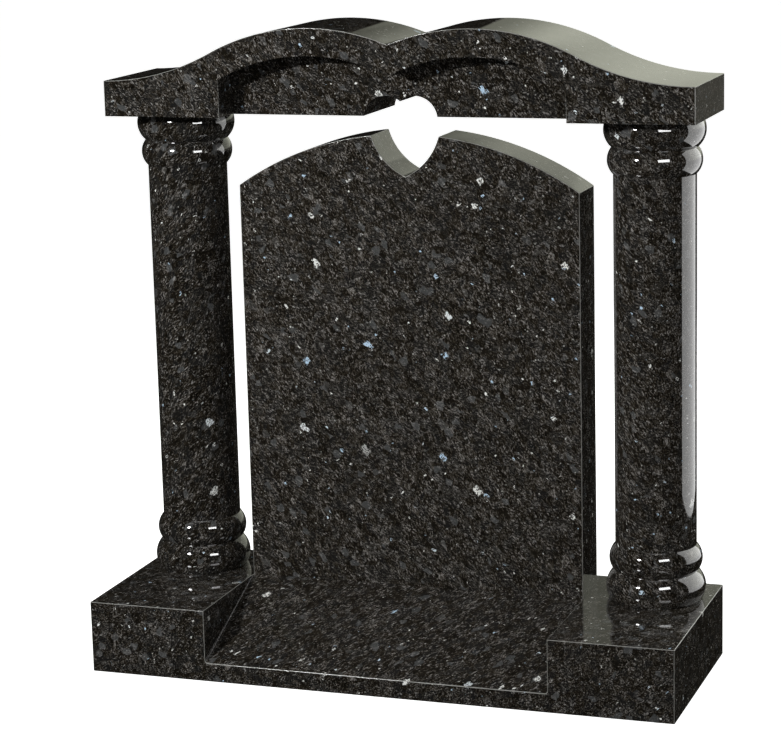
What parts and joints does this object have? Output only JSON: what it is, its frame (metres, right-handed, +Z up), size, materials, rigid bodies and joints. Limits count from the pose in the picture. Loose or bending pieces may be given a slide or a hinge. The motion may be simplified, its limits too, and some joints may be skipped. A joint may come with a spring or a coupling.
{
  "type": "headstone",
  "caption": "Upright memorial of polished dark stone: an arched tablet on a sloped base, between turned columns under a waved lintel, with a heart cut through.",
  "frame": {"origin": "the middle of the base's underside", "axes": "+X to the right seen from the front, +Y to the back, +Z up"},
  "size_m": [1.067, 0.386, 1.1389],
  "materials": {
    "polished_stone": "mirror-polished near-black stone with coarse grey crystals, sparse silvery and pale blue glints, and fine pale arrises"
  },
  "bodies": {
    "root": {"base": "polished_stone", "tablet": "polished_stone", "left_column": "polished_stone", "right_column": "polished_stone", "lintel": "polished_stone"}
  },
  "joints": []
}
